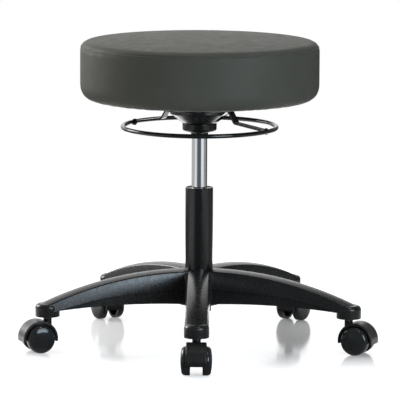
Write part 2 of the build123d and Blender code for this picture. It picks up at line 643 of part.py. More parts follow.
with BuildPart() as crossbar:
    with BuildSketch(bar_plane):
        inner_foot = (INNER_FOOT_RADIUS, INNER_FOOT_Z)
        outer_foot = (OUTER_FOOT_RADIUS, SHELF_Z - OUTER_FOOT_DROP)
        fulcrum = (FULCRUM_RADIUS, FULCRUM_Z)
        welded_end = (RING_RADIUS, RING_Z + BAR_END_RISE)
        climb_angle = touch_angle(inner_foot, fulcrum, BAR_BEND_RADIUS, -1)
        descent_angle = touch_angle(outer_foot, fulcrum, BAR_BEND_RADIUS, 1)
        with BuildLine():
            FilletPolyline(
                (0, BRIDGE_Z),
                (BRIDGE_HALF_LENGTH, BRIDGE_Z),
                (BRIDGE_FOOT_RADIUS, INNER_FOOT_Z),
                inner_foot,
                on_circle(fulcrum, BAR_BEND_RADIUS, climb_angle),
                radius=BAR_BEND_RADIUS / 2,
            )
            CenterArc(fulcrum, BAR_BEND_RADIUS, climb_angle, descent_angle - climb_angle)
            FilletPolyline(
                on_circle(fulcrum, BAR_BEND_RADIUS, descent_angle),
                outer_foot,
                welded_end,
                radius=BAR_BEND_RADIUS,
            )
            mirror(about=Plane.YZ)
        trace(line_width=BAR_THICKNESS)
    extrude(amount=BAR_WIDTH / 2, both=True)
    with Locations((0, 0, RING_Z)):
        Torus(RING_RADIUS, RING_BAR_RADIUS + ASSEMBLY_FIT, mode=Mode.SUBTRACT)
save(crossbar.part, "crossbar")


def seat_outline(inset):
    """Right half of the seat's upright section, drawn in all round by an inset."""
    with BuildSketch() as outline:
        with Locations((SEAT_RADIUS - SIDE_ARC_RADIUS, SEAT_BOTTOM_Z + SEAT_THICKNESS / 2)):
            Circle(SIDE_ARC_RADIUS - inset)
        with Locations((0, SEAT_RIM_Z + SEAT_CROWN - CROWN_ARC_RADIUS)):
            Circle(CROWN_ARC_RADIUS - inset, mode=Mode.INTERSECT)
        with Locations((0, SEAT_BOTTOM_Z + inset)):
            above_bottom = (2 * SEAT_RADIUS, 2 * SEAT_THICKNESS)
            Rectangle(*above_bottom, align=(Align.MIN, Align.MIN), mode=Mode.INTERSECT)
        corners = outline.vertices().filter_by(lambda corner: corner.X > SEAT_DRAW_IN)
        fillet(corners.group_by(Axis.Y)[-1], SEAT_TOP_EDGE_RADIUS - inset)
        corners = outline.vertices().filter_by(lambda corner: corner.X > SEAT_DRAW_IN)
        fillet(corners.group_by(Axis.Y)[0], SEAT_BOTTOM_EDGE_RADIUS - inset)
    return outline.sketch


# Cover: it wraps the padding and is turned in and stapled under the board
with BuildPart() as seat_cover:
    with BuildSketch(Plane.XZ):
        add(seat_outline(0))
        add(seat_outline(COVER_THICKNESS), mode=Mode.SUBTRACT)
    revolve(axis=Axis.Z)
    with BuildSketch(Plane.XY.offset(SEAT_BOTTOM_Z)):
        Circle(BOARD_RADIUS - COVER_WRAP)
    extrude(amount=COVER_THICKNESS, mode=Mode.SUBTRACT)
save(seat_cover.part, "seat_cover")

with BuildPart() as seat_foam:
    with BuildSketch(Plane.XZ):
        add(seat_outline(COVER_THICKNESS + SOFT_GAP))
    revolve(axis=Axis.Z)
    with BuildSketch(Plane.XY.offset(SEAT_BOTTOM_Z)):
        Circle(BOARD_RADIUS + SOFT_GAP)
    extrude(amount=BOARD_TOP_Z - SEAT_BOTTOM_Z, mode=Mode.SUBTRACT)
save(seat_foam.part, "seat_foam")

# Board, with a recess for each tee nut in its upper face
with BuildPart() as seat_board:
    with BuildSketch(Plane.XY.offset(BOARD_Z)):
        Circle(BOARD_RADIUS)
    extrude(amount=BOARD_THICKNESS)
    with Locations((0, 0, BOARD_TOP_Z)):
        with GridLocations(BOLT_SPACING, BOLT_SPACING, 2, 2):
            CounterBoreHole(
                radius=TEE_NUT_RADIUS + ASSEMBLY_FIT,
                counter_bore_radius=TEE_FLANGE_RADIUS + ASSEMBLY_FIT,
                counter_bore_depth=TEE_FLANGE_THICKNESS,
            )
save(seat_board.part, "seat_board")

with BuildPart() as tee_nuts:
    with BuildSketch(Plane.XY.offset(BOARD_Z)):
        with GridLocations(BOLT_SPACING, BOLT_SPACING, 2, 2):
            Circle(TEE_NUT_RADIUS)
    extrude(amount=BOARD_THICKNESS)
    with BuildSketch(Plane.XY.offset(BOARD_TOP_Z)):
        with GridLocations(BOLT_SPACING, BOLT_SPACING, 2, 2):
            Circle(TEE_FLANGE_RADIUS)
    extrude(amount=-TEE_FLANGE_THICKNESS)
    with BuildSketch(Plane.XY.offset(BOARD_Z)):
        with GridLocations(BOLT_SPACING, BOLT_SPACING, 2, 2):
            Circle(BOLT_RADIUS + RUNNING_FIT)
    extrude(amount=BOARD_THICKNESS, mode=Mode.SUBTRACT)
save(tee_nuts.part, "tee_nuts")

washer_z = FLANGE_Z - WASHER_THICKNESS
with BuildPart() as bolt_washers:
    with BuildSketch(Plane.XY.offset(washer_z)):
        with GridLocations(BOLT_SPACING, BOLT_SPACING, 2, 2):
            Circle(WASHER_RADIUS)
        with GridLocations(BOLT_SPACING, BOLT_SPACING, 2, 2):
            Circle(BOLT_RADIUS + ASSEMBLY_FIT, mode=Mode.SUBTRACT)
    extrude(amount=WASHER_THICKNESS)
save(bolt_washers.part, "bolt_washers")

with BuildPart() as seat_bolts:
    with BuildSketch(Plane.XY.offset(washer_z)):
        with GridLocations(BOLT_SPACING, BOLT_SPACING, 2, 2):
            RegularPolygon(BOLT_HEAD_RADIUS, 6)
    extrude(amount=-BOLT_HEAD_HEIGHT)
    with BuildSketch(Plane.XY.offset(washer_z)):
        with GridLocations(BOLT_SPACING, BOLT_SPACING, 2, 2):
            Circle(BOLT_RADIUS)
    extrude(amount=BOLT_LENGTH)
save(seat_bolts.part, "seat_bolts")

# Staples: a crown on the turned-in cover and two legs driven into the board
with BuildPart() as staples:
    staple_radius = BOARD_RADIUS - STAPLE_INSET
    with BuildSketch(Plane.XY.offset(SEAT_BOTTOM_Z - STAPLE_WIRE)):
        with PolarLocations(staple_radius, STAPLE_COUNT):
            Rectangle(STAPLE_WIRE, STAPLE_WIDTH)
    extrude(amount=STAPLE_WIRE)
    with BuildSketch(Plane.XY.offset(SEAT_BOTTOM_Z)):
        with PolarLocations(staple_radius, STAPLE_COUNT):
            with GridLocations(0, STAPLE_WIDTH - STAPLE_WIRE, 1, 2):
                Rectangle(STAPLE_WIRE, STAPLE_WIRE)
    extrude(amount=STAPLE_LEG)
save(staples.part, "staples")

# Caster pieces, with the stem on the Z axis and the axle behind it along +X
axle_plane = Plane(origin=(CASTER_TRAIL, 0, AXLE_Z), x_dir=(1, 0, 0), z_dir=(0, -1, 0))
pin_bottom_z = COLLAR_BOTTOM_Z - STEM_PIN_LENGTH

with BuildPart() as housing:
    with BuildSketch(axle_plane):
        Circle(HOOD_OUTER_RADIUS)
        Circle(HOOD_INNER_RADIUS, mode=Mode.SUBTRACT)
        skirt_drop = HOOD_OUTER_RADIUS * sin(radians(HOOD_SKIRT_ANGLE))
        with Locations((0, -HOOD_OUTER_RADIUS - skirt_drop)):
            Rectangle(2 * HOOD_OUTER_RADIUS, 2 * HOOD_OUTER_RADIUS, mode=Mode.SUBTRACT)
    extrude(amount=HOOD_WIDTH / 2, both=True)
    outer_edges = housing.edges().filter_by(GeomType.CIRCLE)
    fillet(
        outer_edges.filter_by(lambda edge: abs(edge.radius - HOOD_OUTER_RADIUS) < MOVING_GAP),
        HOOD_EDGE_RADIUS,
    )
    with BuildSketch(axle_plane):
        Circle(HOOD_OUTER_RADIUS - HOOD_WALL / 2)
        with Locations((0, -HOOD_OUTER_RADIUS)):
            Rectangle(2 * HOOD_OUTER_RADIUS, 2 * HOOD_OUTER_RADIUS, mode=Mode.SUBTRACT)
        Circle(AXLE_BOSS_RADIUS)
    extrude(amount=WEB_WIDTH / 2, both=True)
    with BuildSketch(Plane.XY.offset(NECK_TOP_Z)):
        Circle(NECK_RADIUS)
    extrude(amount=-(NECK_TOP_Z - AXLE_Z))
    with BuildSketch(axle_plane):
        Circle(AXLE_RADIUS + RUNNING_FIT)
    extrude(amount=WEB_WIDTH, both=True, mode=Mode.SUBTRACT)
    with BuildSketch(Plane.XY.offset(NECK_TOP_Z)):
        Circle(STEM_PIN_RADIUS + RUNNING_FIT)
    extrude(amount=pin_bottom_z - PIN_END_GAP - NECK_TOP_Z, mode=Mode.SUBTRACT)

with BuildPart() as axle:
    with BuildSketch(axle_plane):
        Circle(AXLE_RADIUS)
    extrude(amount=AXLE_HALF_LENGTH, both=True)

# One wheel, on the +Y side: a domed outer face, a rounded rim, and a hub inside the hollow back
with BuildPart() as wheel:
    with BuildSketch(Plane.YZ.offset(CASTER_TRAIL)):
        hub_inner_y = WEB_WIDTH / 2 + MOVING_GAP
        hollow_y = WHEEL_OUTER_Y - WHEEL_DISC_WALL - WHEEL_DOME
        rim_y = WHEEL_OUTER_Y - WHEEL_DOME
        rim_inner_z = AXLE_Z + WHEEL_RADIUS - WHEEL_RIM_WALL
        with BuildLine():
            Polyline(
                (WHEEL_OUTER_Y, AXLE_Z + WHEEL_FLAT_RADIUS),
                (WHEEL_OUTER_Y, AXLE_Z),
                (hub_inner_y, AXLE_Z),
                (hub_inner_y, AXLE_Z + WHEEL_HUB_RADIUS),
                (hollow_y, AXLE_Z + WHEEL_HUB_RADIUS),
                (hollow_y, rim_inner_z),
                (WHEEL_INNER_Y, rim_inner_z),
                (WHEEL_INNER_Y, AXLE_Z + WHEEL_RADIUS),
                (rim_y - WHEEL_SHOULDER, AXLE_Z + WHEEL_RADIUS),
            )
            JernArc(
                start=(rim_y - WHEEL_SHOULDER, AXLE_Z + WHEEL_RADIUS),
                tangent=(1, 0),
                radius=WHEEL_SHOULDER,
                arc_size=-90,
            )
            TangentArc(
                (WHEEL_OUTER_Y, AXLE_Z + WHEEL_FLAT_RADIUS),
                (rim_y, AXLE_Z + WHEEL_RADIUS - WHEEL_SHOULDER),
                tangent=(0, 1),
            )
        make_face()
    revolve(axis=Axis((CASTER_TRAIL, 0, AXLE_Z), (0, 1, 0)))
    with BuildSketch(axle_plane):
        Circle(AXLE_RADIUS + RUNNING_FIT)
    extrude(amount=-(WHEEL_INNER_Y + WHEEL_HUB_DEPTH), mode=Mode.SUBTRACT)

grip_groove_top_z = SOCKET_BOTTOM_Z + STEM_LENGTH - 2 * STEM_CHAMFER
grip_groove_z = grip_groove_top_z - GRIP_GROOVE_LENGTH
with BuildPart() as stem:
    with BuildSketch(Plane.XZ):
        grip_groove_radius = STEM_RADIUS - GRIP_GROOVE_DEPTH
        stem_top_z = SOCKET_BOTTOM_Z + STEM_LENGTH
        with BuildLine():
            Polyline(
                (0, pin_bottom_z),
                (STEM_PIN_RADIUS - STEM_CHAMFER, pin_bottom_z),
                (STEM_PIN_RADIUS, pin_bottom_z + STEM_CHAMFER),
                (STEM_PIN_RADIUS, COLLAR_BOTTOM_Z),
                (STEM_COLLAR_RADIUS, COLLAR_BOTTOM_Z),
                (STEM_COLLAR_RADIUS, SOCKET_BOTTOM_Z),
                (STEM_RADIUS, SOCKET_BOTTOM_Z),
                (STEM_RADIUS, grip_groove_z),
                (grip_groove_radius, grip_groove_z),
                (grip_groove_radius, grip_groove_top_z),
                (STEM_RADIUS, grip_groove_top_z),
                (STEM_RADIUS, stem_top_z - STEM_CHAMFER),
                (STEM_RADIUS - STEM_CHAMFER, stem_top_z),
                (0, stem_top_z),
                close=True,
            )
        make_face()
    revolve(axis=Axis.Z)

grip_ring = split_ring(
    grip_groove_radius + ASSEMBLY_FIT,
    grip_groove_radius + ASSEMBLY_FIT + GRIP_RING_WALL,
    GRIP_RING_SPLIT,
    GRIP_GROOVE_LENGTH - 2 * ASSEMBLY_FIT,
    grip_groove_z + ASSEMBLY_FIT,
)

for name, (arm_number, swing) in CASTERS.items():
    arm_angle = FRONT_ARM_ANGLE + arm_number * 360 / ARM_COUNT
    stem_point = Vector(CASTER_CIRCLE_RADIUS, 0, 0).rotate(Axis.Z, arm_angle)
    stem_place = Location(stem_point, (0, 0, arm_angle + swing))
    save(housing.part.moved(stem_place), f"caster_{name}_housing")
    save(axle.part.moved(stem_place), f"caster_{name}_axle")
    save(wheel.part.moved(stem_place), f"caster_{name}_wheel_left")
    save(mirror(wheel.part, about=Plane.XZ).moved(stem_place), f"caster_{name}_wheel_right")
    save(stem.part.moved(stem_place), f"caster_{name}_stem")
    save(grip_ring.moved(stem_place), f"caster_{name}_grip_ring")
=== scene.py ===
import json
from math import cos, pi, radians, sin, tau

import bmesh
import bpy
import numpy as np
from mathutils import Matrix, Vector, noise


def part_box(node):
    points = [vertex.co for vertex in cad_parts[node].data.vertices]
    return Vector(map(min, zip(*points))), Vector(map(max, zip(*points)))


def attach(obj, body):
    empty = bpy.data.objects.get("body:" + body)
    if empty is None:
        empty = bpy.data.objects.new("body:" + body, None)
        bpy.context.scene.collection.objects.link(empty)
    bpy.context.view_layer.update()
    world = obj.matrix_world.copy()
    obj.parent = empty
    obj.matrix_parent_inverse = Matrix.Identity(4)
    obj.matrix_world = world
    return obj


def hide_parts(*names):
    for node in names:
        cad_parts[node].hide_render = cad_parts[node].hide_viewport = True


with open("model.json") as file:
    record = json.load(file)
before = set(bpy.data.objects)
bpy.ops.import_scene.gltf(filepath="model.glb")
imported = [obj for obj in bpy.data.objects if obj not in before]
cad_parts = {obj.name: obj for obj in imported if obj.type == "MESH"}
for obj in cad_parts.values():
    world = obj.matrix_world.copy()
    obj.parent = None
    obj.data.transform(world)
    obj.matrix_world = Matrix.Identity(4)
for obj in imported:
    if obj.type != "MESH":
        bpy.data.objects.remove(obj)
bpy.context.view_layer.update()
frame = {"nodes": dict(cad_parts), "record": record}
nodes = frame["nodes"]
scene = bpy.context.scene


# Node recipes that the surfaces share

TEXTURE_LOW, TEXTURE_HIGH = 0.3, 0.7  # most values of a noise texture lie between these


def add_node(tree, kind, inputs, **settings):
    """Adds a node. An input is a plain value, or another node's output to link."""
    node = tree.nodes.new(kind)
    for name, value in settings.items():
        setattr(node, name, value)
    for name, value in inputs.items():
        if isinstance(value, bpy.types.NodeSocket):
            tree.links.new(value, node.inputs[name])
        else:
            node.inputs[name].default_value = value
    return node


def new_surface(name, **sockets):
    """A material with these values on its Principled shader."""
    material = bpy.data.materials.new(name)
    material.use_nodes = True
    shader = material.node_tree.nodes["Principled BSDF"]
    for socket, value in sockets.items():
        shader.inputs[socket.replace("_", " ")].default_value = value
    return material, material.node_tree, shader


def places(tree, stretch=(1, 1, 1)):
    """The object's own coordinates, in metres, each multiplied by a factor."""
    coordinates = add_node(tree, "ShaderNodeTexCoord", {})
    inputs = {"Vector": coordinates.outputs["Object"], "Scale": stretch}
    return add_node(tree, "ShaderNodeMapping", inputs).outputs["Vector"]


def mottle(tree, vector, scale, detail=2.0):
    """Soft random patches, so many to the metre."""
    inputs = {"Vector": vector, "Scale": scale, "Detail": detail}
    return add_node(tree, "ShaderNodeTexNoise", inputs).outputs["Fac"]


def spread(tree, value, low, high, start=TEXTURE_LOW, end=TEXTURE_HIGH):
    """Maps the useful span of a texture to a span of numbers."""
    span = {"Value": value, "From Min": start, "From Max": end, "To Min": low, "To Max": high}
    return add_node(tree, "ShaderNodeMapRange", span).outputs["Result"]


def shade(tree, value, stops):
    """Maps a number to colours, given as pairs of a position and a linear colour."""
    ramp = add_node(tree, "ShaderNodeValToRGB", {"Fac": value})
    elements = ramp.color_ramp.elements
    while len(elements) < len(stops):
        elements.new(0.5)  # the next loop moves it
    for element, (position, colour) in zip(elements, stops):
        element.position = position
        element.color = (*colour, 1)
    return ramp.outputs["Color"]


def two_tones(tree, value, dark, light):
    """Maps the useful span of a texture to the colours between two."""
    return shade(tree, value, [(TEXTURE_LOW, dark), (TEXTURE_HIGH, light)])


def darker(colour, share):
    return tuple(share * part for part in colour)


def emboss(tree, shader, height, depth, under=None):
    """Raises the surface by a texture, this deep in metres, over another bump if there is one."""
    inputs = {"Height": height, "Distance": depth}
    if under is not None:
        inputs["Normal"] = under
    bump = add_node(tree, "ShaderNodeBump", inputs)
    tree.links.new(bump.outputs["Normal"], shader.inputs["Normal"])
    return bump.outputs["Normal"]


def vary(tree, shader, socket, value):
    """Drives a socket of the shader by another node's output."""
    tree.links.new(value, shader.inputs[socket])


# Surfaces


def grained_vinyl():
    """Soft grey-black upholstery vinyl: a pebbled grain with fine creases between the pebbles."""
    material, tree, shader = new_surface("grained_vinyl", Specular_IOR_Level=0.22)
    where = places(tree)
    cloud = mottle(tree, where, scale=9, detail=3)
    wear = mottle(tree, where, scale=60, detail=3)
    tones = two_tones(tree, cloud, (0.047, 0.048, 0.038), (0.055, 0.056, 0.046))
    vary(tree, shader, "Base Color", tones)
    vary(tree, shader, "Roughness", spread(tree, wear, low=0.50, high=0.60))
    pebbles = add_node(tree, "ShaderNodeTexVoronoi", {"Vector": where, "Scale": 750.0}, feature="SMOOTH_F1")
    soft = emboss(tree, shader, mottle(tree, where, scale=300), depth=0.00013)
    emboss(tree, shader, pebbles.outputs["Distance"], depth=0.00016, under=soft)
    return material


def moulded_nylon():
    """Glass-filled nylon with the fine spark texture of its mould."""
    material, tree, shader = new_surface("moulded_nylon", Specular_IOR_Level=0.5)
    where = places(tree)
    cloud = mottle(tree, where, scale=25, detail=3)
    wear = mottle(tree, where, scale=140, detail=3)
    tones = two_tones(tree, cloud, (0.009, 0.009, 0.009), (0.013, 0.013, 0.013))
    vary(tree, shader, "Base Color", tones)
    vary(tree, shader, "Roughness", spread(tree, wear, low=0.22, high=0.31))
    emboss(tree, shader, mottle(tree, where, scale=1400, detail=3), depth=0.00003)
    return material


def powder_coat(name, colour, low, high):
    """Black powder coat on steel, with a slight orange peel. Its roughness goes from low to high."""
    material, tree, shader = new_surface(name, Specular_IOR_Level=0.5)
    where = places(tree)
    cloud = mottle(tree, where, scale=40)
    wear = mottle(tree, where, scale=90, detail=3)
    vary(tree, shader, "Base Color", two_tones(tree, cloud, darker(colour, share=0.75), colour))
    vary(tree, shader, "Roughness", spread(tree, wear, low, high))
    emboss(tree, shader, mottle(tree, where, scale=420, detail=1), depth=0.00006)
    return material


def hard_chrome():
    """Polished chrome with faint grinding marks round the cylinder."""
    material, tree, shader = new_surface("hard_chrome", Metallic=1.0)
    marks = mottle(tree, places(tree, stretch=(1, 1, 60)), scale=40, detail=4)
    vary(tree, shader, "Base Color", two_tones(tree, marks, (0.70, 0.71, 0.72), (0.76, 0.77, 0.78)))
    vary(tree, shader, "Roughness", spread(tree, marks, low=0.05, high=0.10))
    return material


def turned_steel(name):
    """Zinc-plated steel with turning marks."""
    material, tree, shader = new_surface(name, Metallic=1.0)
    cloud = mottle(tree, places(tree), scale=120)
    marks = mottle(tree, places(tree, stretch=(1, 1, 8)), scale=400, detail=3)
    vary(tree, shader, "Base Color", two_tones(tree, cloud, (0.45, 0.45, 0.44), (0.58, 0.58, 0.57)))
    vary(tree, shader, "Roughness", spread(tree, marks, low=0.22, high=0.40))
    emboss(tree, shader, marks, depth=0.00003)
    return material


def glossy_plastic(name, colour, low, high, gloss=0.5):
    """Polished black plastic, with faint flow marks. Its roughness goes from low to high."""
    material, tree, shader = new_surface(name, Specular_IOR_Level=gloss)
    where = places(tree)
    flow = mottle(tree, where, scale=70, detail=4)
    vary(tree, shader, "Base Color", two_tones(tree, flow, darker(colour, share=0.7), colour))
    vary(tree, shader, "Roughness", spread(tree, flow, low, high))
    emboss(tree, shader, mottle(tree, where, scale=160, detail=1), depth=0.00005)
    return material


def plain_plastic(name, colour, low, high):
    """Unpolished moulded plastic, rubber or foam. Its roughness goes from low to high."""
    material, tree, shader = new_surface(name, Specular_IOR_Level=0.4)
    where = places(tree)
    cloud = mottle(tree, where, scale=60, detail=3)
    wear = mottle(tree, where, scale=200)
    vary(tree, shader, "Base Color", two_tones(tree, cloud, darker(colour, share=0.8), colour))
    vary(tree, shader, "Roughness", spread(tree, wear, low, high))
    emboss(tree, shader, mottle(tree, where, scale=900), depth=0.00005)
    return material


def stained_plywood():
    """Dark-stained plywood: long grain on the faces, and the glued plies round the edge."""
    material, tree, shader = new_surface("stained_plywood", Specular_IOR_Level=0.3)
    grain = mottle(tree, places(tree, stretch=(6, 90, 700)), scale=1, detail=6)
    stops = [(0.25, (0.036, 0.024, 0.016)), (0.55, (0.058, 0.042, 0.030)), (0.8, (0.075, 0.056, 0.040))]
    vary(tree, shader, "Base Color", shade(tree, grain, stops))
    vary(tree, shader, "Roughness", spread(tree, grain, low=0.55, high=0.75))
    emboss(tree, shader, grain, depth=0.0002)
    return material


SURFACES = {
    "seat_vinyl": grained_vinyl(),
    "foam": plain_plastic("seat_foam", (0.60, 0.55, 0.40), low=0.79, high=0.91),
    "plywood": stained_plywood(),
    "moulded_nylon": moulded_nylon(),
    "column_black": powder_coat("column_paint", (0.006, 0.006, 0.006), low=0.17, high=0.23),
    "mount_black": powder_coat("mount_paint", (0.010, 0.010, 0.010), low=0.13, high=0.20),
    "cylinder_chrome": hard_chrome(),
    "steel": turned_steel("plain_steel"),
    "inner_plastic": plain_plastic("inner_plastic", (0.42, 0.42, 0.40), low=0.34, high=0.46),
    "inner_rubber": plain_plastic("inner_rubber", (0.02, 0.02, 0.02), low=0.59, high=0.71),
    "cup_plastic": glossy_plastic("cup_plastic", (0.006, 0.006, 0.006), low=0.10, high=0.18, gloss=0.35),
    "caster_plastic": glossy_plastic("hood_plastic", (0.011, 0.011, 0.011), low=0.28, high=0.38),
    "wheel_plastic": glossy_plastic("wheel_plastic", (0.018, 0.019, 0.020), low=0.08, high=0.15),
    "caster_steel": turned_steel("plated_steel"),
}

for subpart in frame["record"]["subparts"]:
    for material_slot in nodes[subpart["node"]].material_slots:
        material_slot.material = SURFACES[subpart["material_slot"]]


# Meshes

UP = Vector((0, 0, 1))


def join_rings(mesh, rings):
    """Adds the faces between each closed ring of vertices and the next."""
    for first, second in zip(rings, rings[1:]):
        for step in range(len(first)):
            mesh.faces.new((first[step], first[step - 1], second[step - 1], second[step]))


def add_object(name, mesh):
    """Adds a smooth object with this mesh to the scene, and frees the mesh."""
    made = bpy.data.objects.new(name, bpy.data.meshes.new(name))
    mesh.to_mesh(made.data)
    mesh.free()
    for face in made.data.polygons:
        face.use_smooth = True
    scene.collection.objects.link(made)
    return made


# Seat cushion: a sewn vinyl cover over foam, with a seam along the upper edge. It is turned on
# the seat's axis, swollen by a cloth simulation, and has a pocket for the board.

RIM_DROP = 0.0055  # from the solid seat's top to the soft one's edge
SEAT_DRAW_IN = 0.0006  # by which the soft side lies inside the solid seat's
START_CROWN = 0.0045  # of the top, before the simulation swells it
CROWN_POWER = 4  # flat in the middle, and falling away towards the edge
UPPER_REACH = 0.018  # of the soft upper edge, along each face
LOWER_REACH = 0.030  # of the soft lower edge, along each face
TURNED_IN = 0.040  # width of the cover's edge under the board
BOARD_GAP = 0.0003  # between the board and its pocket
LOWER_STEPS = 10  # of the outline, round the lower edge
SIDE_STEPS = 15  # up the side
UPPER_STEPS = 8  # round the upper edge
TOP_STEPS = 29  # across the top to its middle
SEAM_STEP = 3  # of the upper edge's steps, at whose end the seam lies
SEGMENTS = 256  # round the cushion
FINE_STEP = 0.003  # between the rings of the finished cushion
COARSE_STEP = 0.008  # between the rings of the simulated one
SEAM_DEPTH = 0.0009
SEAM_WIDTH = 0.0012
SEAM_RINGS = np.arange(-4, 2.6, 0.5)  # from the seam, in its widths: where the closer rings lie
LIP_RISE = 0.0006  # of the side's edge, just below the seam
LIP_PLACE = 2  # below the seam, in its widths
PRESSURE = 4  # in the simulated cushion
FRAMES = 20  # of the simulation
HELD_HEIGHT = 0.001  # above the underside: the simulation holds the rings below it
SWELL_CAP = 0.0025  # the swelling is scaled down until no point moves further than this
SWELL_WAVES = 8  # round the cushion: only waves longer than an eighth of it are kept
PLEAT_DEPTH = 0.0026  # of the gathers where the cover turns under the board
PLEAT_START = 0.022  # height of the gathers' upper ends, above the underside
PLEAT_LENGTH = 0.012  # round the cushion, roughly from one gather to the next
FOLD_SHARE = 0.4  # of the gathers' depth, in wide folds
FOLD_LENGTH = 3 * PLEAT_LENGTH

cover_low, cover_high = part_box("seat_cover")
board_low, board_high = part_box("seat_board")
side_radius = cover_high.x - SEAT_DRAW_IN
rim_height = cover_high.z - RIM_DROP
turned_radius = board_high.x - TURNED_IN


def soft_corner(start, corner, end, steps):
    """A parabola from start to end that turns inside the corner."""
    shares = np.linspace(0, 1, steps + 1)[:, None]
    start, corner, end = (np.array(point) for point in (start, corner, end))
    return start * (1 - shares) ** 2 + 2 * corner * shares * (1 - shares) + end * shares**2


def crown_height(radius):
    """Height of the unswollen top, so far from the seat's axis."""
    return rim_height + START_CROWN * (1 - (radius / side_radius) ** CROWN_POWER)


def cushion_outline():
    """Radius and height from the pocket's middle, round the board's edge, and over the outside to
    the top's middle. Also returns the distance along it where the cover begins, and the seam's."""
    pocket_radius = board_high.x + BOARD_GAP
    pocket = [
        (0, board_high.z + BOARD_GAP),
        (pocket_radius, board_high.z + BOARD_GAP),
        (pocket_radius, board_low.z - BOARD_GAP),
        (turned_radius, board_low.z - BOARD_GAP),
    ]
    underside = [(turned_radius, cover_low.z)]
    lower_start = (side_radius - LOWER_REACH, cover_low.z)
    lower_end = (side_radius, cover_low.z + LOWER_REACH)
    lower = soft_corner(lower_start, (side_radius, cover_low.z), lower_end, LOWER_STEPS)
    upper_start = (side_radius, rim_height - UPPER_REACH)
    crown_edge = side_radius - UPPER_REACH
    upper_end = (crown_edge, crown_height(crown_edge))
    upper = soft_corner(upper_start, (side_radius, rim_height), upper_end, UPPER_STEPS)
    shares = np.linspace(0, 1, SIDE_STEPS + 1)[1:-1]
    heights = lower[-1][1] + shares * (upper[0][1] - lower[-1][1])
    side = np.column_stack([np.full_like(heights, side_radius), heights])
    radii = np.linspace(crown_edge, 0, TOP_STEPS + 1)[1:]
    top = np.column_stack([radii, crown_height(radii)])
    outline = np.vstack([pocket, underside, lower, side, upper, top])
    along = distances(outline)
    upper_index = len(pocket) + len(underside) + len(lower) + len(side)
    return outline, along[len(pocket)], along[upper_index + SEAM_STEP]


def distances(outline):
    """The distance along the outline at each of its points."""
    return np.concatenate([[0], np.cumsum(np.linalg.norm(np.diff(outline, axis=0), axis=1))])


def sample(outline, along):
    """Points of the outline at these distances along it."""
    known = distances(outline)
    return np.column_stack([np.interp(along, known, outline[:, axis]) for axis in (0, 1)])


def whole_rings(values):
    """One row for each ring, with its value repeated round the cushion."""
    return np.repeat(values[:, None], SEGMENTS, axis=1)


def lathe(name, radii, heights):
    """A closed mesh turned about the Z axis. Each row of radii and heights is a ring, and the two
    end rows are its poles. The poles are the mesh's last vertices."""
    mesh = bmesh.new()
    angles = [tau * step / SEGMENTS for step in range(SEGMENTS)]
    rings = []
    for ring_radii, ring_heights in zip(radii[1:-1], heights[1:-1]):
        ring = [
            mesh.verts.new((radius * cos(angle), radius * sin(angle), height))
            for radius, height, angle in zip(ring_radii, ring_heights, angles)
        ]
        rings.append(ring)
    join_rings(mesh, rings)
    for ring, height in ((rings[0], heights[0][0]), (rings[-1], heights[-1][0])):
        pole = mesh.verts.new((0, 0, height))
        for step in range(SEGMENTS):
            mesh.faces.new((ring[step - 1], ring[step], pole))
    bmesh.ops.recalc_face_normals(mesh, faces=mesh.faces)
    return add_object(name, mesh)


def simulate(pad, held):
    """Blows up a mesh with these of its vertices held, and returns how far each vertex moves."""
    pad.vertex_groups.new(name="held").add([int(index) for index in held], 1, "REPLACE")
    cloth = pad.modifiers.new("cloth", "CLOTH")
    cloth.settings.vertex_group_mass = "held"
    cloth.settings.use_pressure = True
    cloth.settings.uniform_pressure_force = PRESSURE
    cloth.settings.effector_weights.gravity = 0
    cloth.point_cache.frame_end = FRAMES
    for step in range(1, FRAMES + 1):
        scene.frame_set(step)
    swollen = pad.evaluated_get(bpy.context.evaluated_depsgraph_get()).data
    moved = np.array([after.co - before.co for after, before in zip(swollen.vertices, pad.data.vertices)])
    scene.frame_set(1)
    return moved


def swell(outline, cover_start, seam):
    """Blows up a coarse copy with its seam and underside held, and returns how far each ring's
    points move outwards and upwards, with the rings' distances along the outline."""
    length = distances(outline)[-1]
    below = np.linspace(0, seam, round(seam / COARSE_STEP))
    above = np.arange(seam + COARSE_STEP, length, COARSE_STEP)
    along = np.concatenate([below, above, [length]])
    points = sample(outline, along)
    pad = lathe("swelling", whole_rings(points[:, 0]), whole_rings(points[:, 1]))
    under = (along < cover_start) | (points[:, 1] < cover_low.z + HELD_HEIGHT)
    held_rings = np.flatnonzero((under | np.isclose(along, seam))[1:-1])
    held = [ring * SEGMENTS + step for ring in held_rings for step in range(SEGMENTS)]
    pole_count = 2
    lower_pole = len(pad.data.vertices) - pole_count
    moved = simulate(pad, held + [lower_pole])
    bpy.data.objects.remove(pad)
    angles = tau * np.arange(SEGMENTS) / SEGMENTS
    rings = moved[:-pole_count].reshape(-1, SEGMENTS, 3)
    outward = rings[:, :, 0] * np.cos(angles) + rings[:, :, 1] * np.sin(angles)
    still = np.zeros(SEGMENTS)
    outward = np.vstack([still, outward, still])
    upward = np.vstack([still, rings[:, :, 2], np.full(SEGMENTS, moved[-1][2])])
    share = min(1, SWELL_CAP / max(abs(outward).max(), abs(upward).max()))
    return share * smooth_round(outward), share * smooth_round(upward), along


def smooth_round(field):
    """Leaves only the longest waves of a field round the cushion."""
    waves = np.fft.rfft(field, axis=1)
    waves[:, SWELL_WAVES:] = 0
    return np.fft.irfft(waves, SEGMENTS, axis=1)


